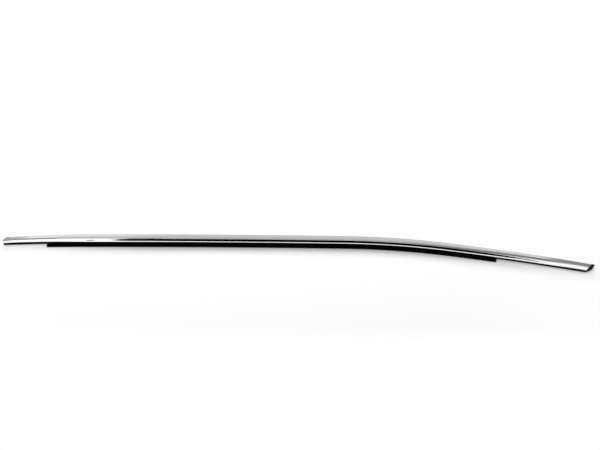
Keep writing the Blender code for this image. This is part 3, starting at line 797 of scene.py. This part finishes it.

# painted dark reflections in the room, a later one over an earlier one: the ceiling's painted shade,
# then what stands in front. Each has its side and tilt, half its width and height, its edge's softness,
# its grey.
PAINTED_DARK_REFLECTIONS = (
    (0.0, -16.0, 1.4, 11.0, 0.50, "#b0b0b4"),
    (-0.041, 16.5, 0.168, 6.1, 0.06, "#020202"),
    (-0.186, 16.7, 0.028, 5.2, 0.10, "#020202"),
    (0.122, 16.3, 0.012, 3.0, 0.40, "#101010"),
    (0.133, 18.3, 0.007, 3.0, 0.50, "#303038"),
    (0.17, -15.0, 0.05, 24.8, 0.45, "#161618"),
    (-0.187, -12.0, 0.020, 23.0, 0.60, "#202022"),
    (-0.241, 18.5, 0.006, 2.5, 0.50, "#303032"),
    (0.60, 63.0, 0.55, 44.0, 0.06, "#101012"),
    (-0.75, 63.0, 0.60, 43.5, 0.06, "#101012"),
    (0.0, 70.0, 0.9, 41.5, 0.08, "#181819"),
)
for dark_side, dark_tilt, half_width, half_height, softness, grey in PAINTED_DARK_REFLECTIONS:
    spot = add_node(tree, "ShaderNodeCombineXYZ", links={0: side, 1: tilt})
    size = {"Location": (dark_side, dark_tilt, 0), "Scale": (half_width, half_height, 1)}
    local = add_node(tree, "ShaderNodeMapping", {"vector_type": "TEXTURE"}, size, {0: spot.outputs[0]})
    twice = {0: local.outputs[0], 1: local.outputs[0]}
    squared = add_node(tree, "ShaderNodeVectorMath", {"operation": "MULTIPLY"}, links=twice).outputs[0]
    reach = add_node(tree, "ShaderNodeVectorMath", {"operation": "LENGTH"}, links={0: squared})
    span = {"From Min": 1 - softness, "From Max": 1 + softness}
    outside = add_node(tree, "ShaderNodeMapRange", smooth, span, {0: reach.outputs["Value"]})
    mix = add_node(tree, "ShaderNodeMix", colours, links={0: outside.outputs[0], 7: seen})
    mix.inputs[6].default_value = linear(grey)
    seen = mix.outputs[2]

# the painted room in reflections, its even light on everything else, and a white backdrop
ROOM_STRENGTH = 1.3
ray = add_node(tree, "ShaderNodeLightPath")
painted_reflection = add_node(tree, "ShaderNodeBackground", values={"Strength": ROOM_STRENGTH}, links={0: seen})
daylight = add_node(tree, "ShaderNodeBackground")
daylight.inputs["Color"].default_value = linear("#a2a2a2")
backdrop = add_node(tree, "ShaderNodeBackground")
backdrop.inputs["Color"].default_value = linear("#ffffff")
blend = {0: ray.outputs["Is Glossy Ray"], 1: daylight.outputs[0], 2: painted_reflection.outputs[0]}
lit = add_node(tree, "ShaderNodeMixShader", links=blend)
blend = {0: ray.outputs["Is Camera Ray"], 1: lit.outputs[0], 2: backdrop.outputs[0]}
shown = add_node(tree, "ShaderNodeMixShader", links=blend)
add_node(tree, "ShaderNodeOutputWorld", links={"Surface": shown.outputs[0]})

# a softbox 3 m long behind the strip, aimed at its middle; the trim doesn't mirror it
SOFTBOX_PLACE, SOFTBOX_LENGTH, SOFTBOX_HEIGHT = Vector((-0.25, 2.0, 0.85)), 3.0, 0.57
SOFTBOX_WATTS = 112
lamp = bpy.data.lights.new("rear_softbox", "AREA")
lamp.shape = "RECTANGLE"
lamp.size, lamp.size_y = SOFTBOX_LENGTH, SOFTBOX_HEIGHT
lamp.energy = SOFTBOX_WATTS
softbox = bpy.data.objects.new("rear_softbox", lamp)
bpy.context.scene.collection.objects.link(softbox)
softbox.location = SOFTBOX_PLACE
softbox.rotation_euler = (-SOFTBOX_PLACE).to_track_quat("-Z", "Y").to_euler()
softbox.visible_glossy = False

# Camera
# A normal lens on the lip's side of the strip, 1.35 m off, looking down on it at about
# 59 degrees, so that the whole length is in view.

CAMERA_PLACE = Vector((19.2, -667.3, 1159.0)) * MM
LOOKS_AT = Vector((9.0, 30.2, 0.0)) * MM
CAMERA_ROLL = Matrix.Rotation(math.radians(-0.03), 3, "Z")
lens = bpy.data.cameras.new("camera")
lens.lens, lens.sensor_width = 50, 36
lens.clip_start, lens.clip_end = 0.01, 50
camera = bpy.data.objects.new("camera", lens)
bpy.context.scene.collection.objects.link(camera)
camera.location = CAMERA_PLACE
aim = (LOOKS_AT - CAMERA_PLACE).to_track_quat("-Z", "Y").to_matrix()
camera.rotation_euler = (aim @ CAMERA_ROLL).to_euler()
bpy.context.scene.camera = camera
bpy.context.scene.view_settings.view_transform = "Standard"

bpy.data.objects.remove(guide)
low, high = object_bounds()
